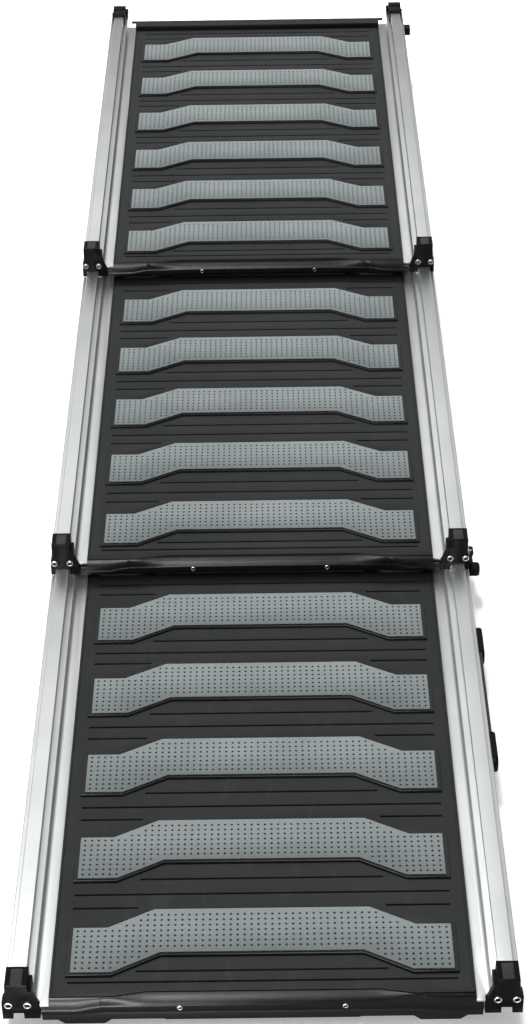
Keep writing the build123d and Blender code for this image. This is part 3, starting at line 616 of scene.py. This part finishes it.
# --- front screws ---
def screw_head(radius):
    """A dished cross-head seen along its axis, as (across, up, out) points and faces."""
    arm, half = radius * CROSS_ARM, radius * CROSS_HALF
    cross = [(half, half), (arm, half), (arm, -half), (half, -half), (half, -arm), (-half, -arm),
             (-half, -half), (-arm, -half), (-arm, half), (-half, half), (-half, arm), (half, arm)][::-1]
    dish = ring(0, 0, radius * DISH_R, SCREW_SIDES)
    flat = dish + cross
    loops = [list(range(len(dish))), list(range(len(dish), len(flat)))]
    spread, faces, number = pierced(flat, loops)
    level = radius * DISH_LEVEL
    points = [(p.x, p.y, level) for p in spread]

    def skirt(previous, outline, out):
        """A band from the loop before to an outline at another height; gives the new loop."""
        start = len(points)
        points.extend((x, y, out) for x, y in outline)
        lower = list(range(start, start + len(outline)))
        faces.extend(band(previous, lower))
        return lower

    narrowed = [(x * CROSS_TAPER, y * CROSS_TAPER) for x, y in cross]
    low = skirt([number[k] for k in loops[1]], narrowed, level - radius * CROSS_DEPTH)
    faces.append(tuple(low))
    rim = [number[k] for k in loops[0]]
    for share, out in RIM_STEPS:
        rim = skirt(rim, ring(0, 0, radius * share, SCREW_SIDES), radius * out)
    faces.append(tuple(reversed(rim)))
    return points, faces


def front_screws(name, node, spots, z, face_y, radius, turns):
    """Screw heads that look forward, in place of a CAD node, each turned a little differently."""
    shape, faces = screw_head(radius)
    heads = []
    for x, turn in zip(spots, turns):
        c, s = cos(radians(turn)), sin(radians(turn))
        points = [(x + c * u - s * v, face_y - out, z + s * u + c * v) for u, v, out in shape]
        heads.append((points, faces))
    mesh = mesh_from(f"{name}_{node}_heads", *gathered(heads), section_origin(name))
    outward(mesh)
    piece(f"{name}_{node}_heads", mesh, name, "screw_steel", [f"{name}_{node}"], crease=32)


def all_front_screws():
    """Bracket and nose screws of every section, placed from their CAD boxes."""
    for name in SECTIONS:
        origin = section_origin(name)
        for node, spots, radius, turns in (("bracket_screws", SCREW_X, SCREW_R, (12, 50, 78, 31)),
                                           ("nose_screws", NOSE_SCREW_X, NOSE_SCREW_R, (20, 64))):
            low, high = ((corner - origin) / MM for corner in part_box(f"{name}_{node}"))
            rest = low.y + radius * RIM_LEVEL + HEAD_INSIDE
            front_screws(name, node, spots, (low.z + high.z) / 2, rest, radius, turns)


# --- pieces eased from the CAD ---
def eased_pieces():
    """Finishes for every CAD node, and rounded copies of those that EDGE_ROUND names."""
    slots = {part["node"]: part["material_slot"] for part in frame["record"]["subparts"]}
    for body, nodes in frame["record"]["behaviour"]["bodies"].items():
        for node in nodes:
            slot = slots[node]
            frame["nodes"][node].data.materials.clear()
            frame["nodes"][node].data.materials.append(FINISHES[slot])
            widths = [width for kind, width in EDGE_ROUND.items() if kind in node and "screw" not in node]
            if widths:
                piece(f"{node}_eased", eased_copy(node, widths[0]), body, slot, [node])


# --- set, light and camera ---
def floor():
    """Plain pale studio floor."""
    f = Finish("studio_floor", specular=0.2)
    cloud = f.noise(3, detail=3)
    f.colour(f.ramp(cloud, 0.3, 0.7, 0.93, 0.95))
    f.roughness(f.ramp(cloud, 0.3, 0.7, 0.75, 0.85))
    f.shader.inputs["Emission Color"].default_value = (1, 1, 1, 1)
    f.shader.inputs["Emission Strength"].default_value = FLOOR_GLOW
    mesh = bpy.data.meshes.new("studio_floor")
    corners = [(FLOOR_HALF * x, FLOOR_HALF * y, 0) for x, y in ((-1, -1), (1, -1), (1, 1), (-1, 1))]
    mesh.from_pydata(corners, [], [(0, 1, 2, 3)])
    mesh.materials.append(f.material)
    ground = bpy.data.objects.new("studio_floor", mesh)
    bpy.context.scene.collection.objects.link(ground)


def sky():
    """Soft dome, brightest high up behind the ramp and dark towards the horizon."""
    world = bpy.data.worlds.new("studio")
    world.use_nodes = True
    nodes, links = world.node_tree.nodes, world.node_tree.links
    nodes.clear()
    out = nodes.new("ShaderNodeOutputWorld")
    glow = nodes.new("ShaderNodeBackground")
    place = nodes.new("ShaderNodeTexCoord")
    facing = nodes.new("ShaderNodeVectorMath")
    facing.operation = "DOT_PRODUCT"
    facing.inputs[1].default_value = Vector(SKY_AXIS).normalized()
    ramp = nodes.new("ShaderNodeValToRGB")
    shades = ramp.color_ramp.elements
    while len(shades) < len(SKY_STEPS):
        shades.new(0.5)
    for shade, (at, level) in zip(shades, SKY_STEPS):
        shade.position = at
        shade.color = (level, level, level, 1)
    links.new(place.outputs["Generated"], facing.inputs[0])
    links.new(facing.outputs["Value"], ramp.inputs["Fac"])
    links.new(ramp.outputs["Color"], glow.inputs["Color"])
    glow.inputs["Strength"].default_value = SKY_STRENGTH
    links.new(glow.outputs["Background"], out.inputs["Surface"])
    bpy.context.scene.world = world


def area_light(name, place, aim, wide, tall, watts):
    """A rectangular light turned towards a point."""
    light = bpy.data.lights.new(name, "AREA")
    light.shape = "RECTANGLE"
    light.size, light.size_y, light.energy = wide, tall, watts
    thing = bpy.data.objects.new(name, light)
    bpy.context.scene.collection.objects.link(thing)
    thing.location = place
    thing.rotation_mode = "QUATERNION"
    thing.rotation_quaternion = (Vector(aim) - Vector(place)).to_track_quat("-Z", "Y")
    return thing


def softbox(name, place, aim, wide, tall, watts):
    """A rectangular light that only shows in reflections."""
    thing = area_light(name, place, aim, wide, tall, watts)
    thing.visible_diffuse = False
    thing.visible_camera = False


def lights():
    """Broad key from high behind, and three boxes on the left for the highlights on the lips."""
    key = area_light("key", (-0.9, 8.5, 7.6), aim=(0, 0, 0), wide=2.6, tall=1.8, watts=1800)
    key.visible_glossy = False
    front = cad_box[0].y
    lip = (-0.2, front, 0)
    softbox("overhead_left", (-0.8, -1.6, 2.4), aim=lip, wide=1.7, tall=2.0, watts=110)
    softbox("front_left", (-0.42, front - 0.85, 0.8), aim=lip, wide=0.65, tall=0.9, watts=56)
    low_x, low_y = -0.16, front - 0.36
    softbox("low_left", (low_x, low_y, 0.002), aim=(low_x, low_y, 1), wide=0.22, tall=0.5, watts=20)


def camera():
    """Looks down the ramp from in front of its low end."""
    down, pan, roll = radians(CAMERA_DOWN), radians(CAMERA_PAN), radians(CAMERA_ROLL)
    forward = Vector((-sin(pan) * cos(down), cos(pan) * cos(down), -sin(down)))
    level = Vector((cos(pan), sin(pan), 0))
    upward = level.cross(forward)
    right = level * cos(roll) + upward * sin(roll)
    top = upward * cos(roll) - level * sin(roll)
    lens = bpy.data.cameras.new("camera")
    lens.lens = CAMERA_LENS
    lens.clip_start, lens.clip_end = 0.05, 100
    thing = bpy.data.objects.new("camera", lens)
    bpy.context.scene.collection.objects.link(thing)
    turn = Matrix((right, top, -forward)).transposed()
    thing.matrix_world = Matrix.Translation(CAMERA_PLACE) @ turn.to_4x4()
    bpy.context.scene.camera = thing


grip_strips()
for section in SECTIONS:
    nose(section)
all_front_screws()
eased_pieces()
floor()
sky()
lights()
camera()
bpy.context.scene.view_settings.view_transform = "Standard"
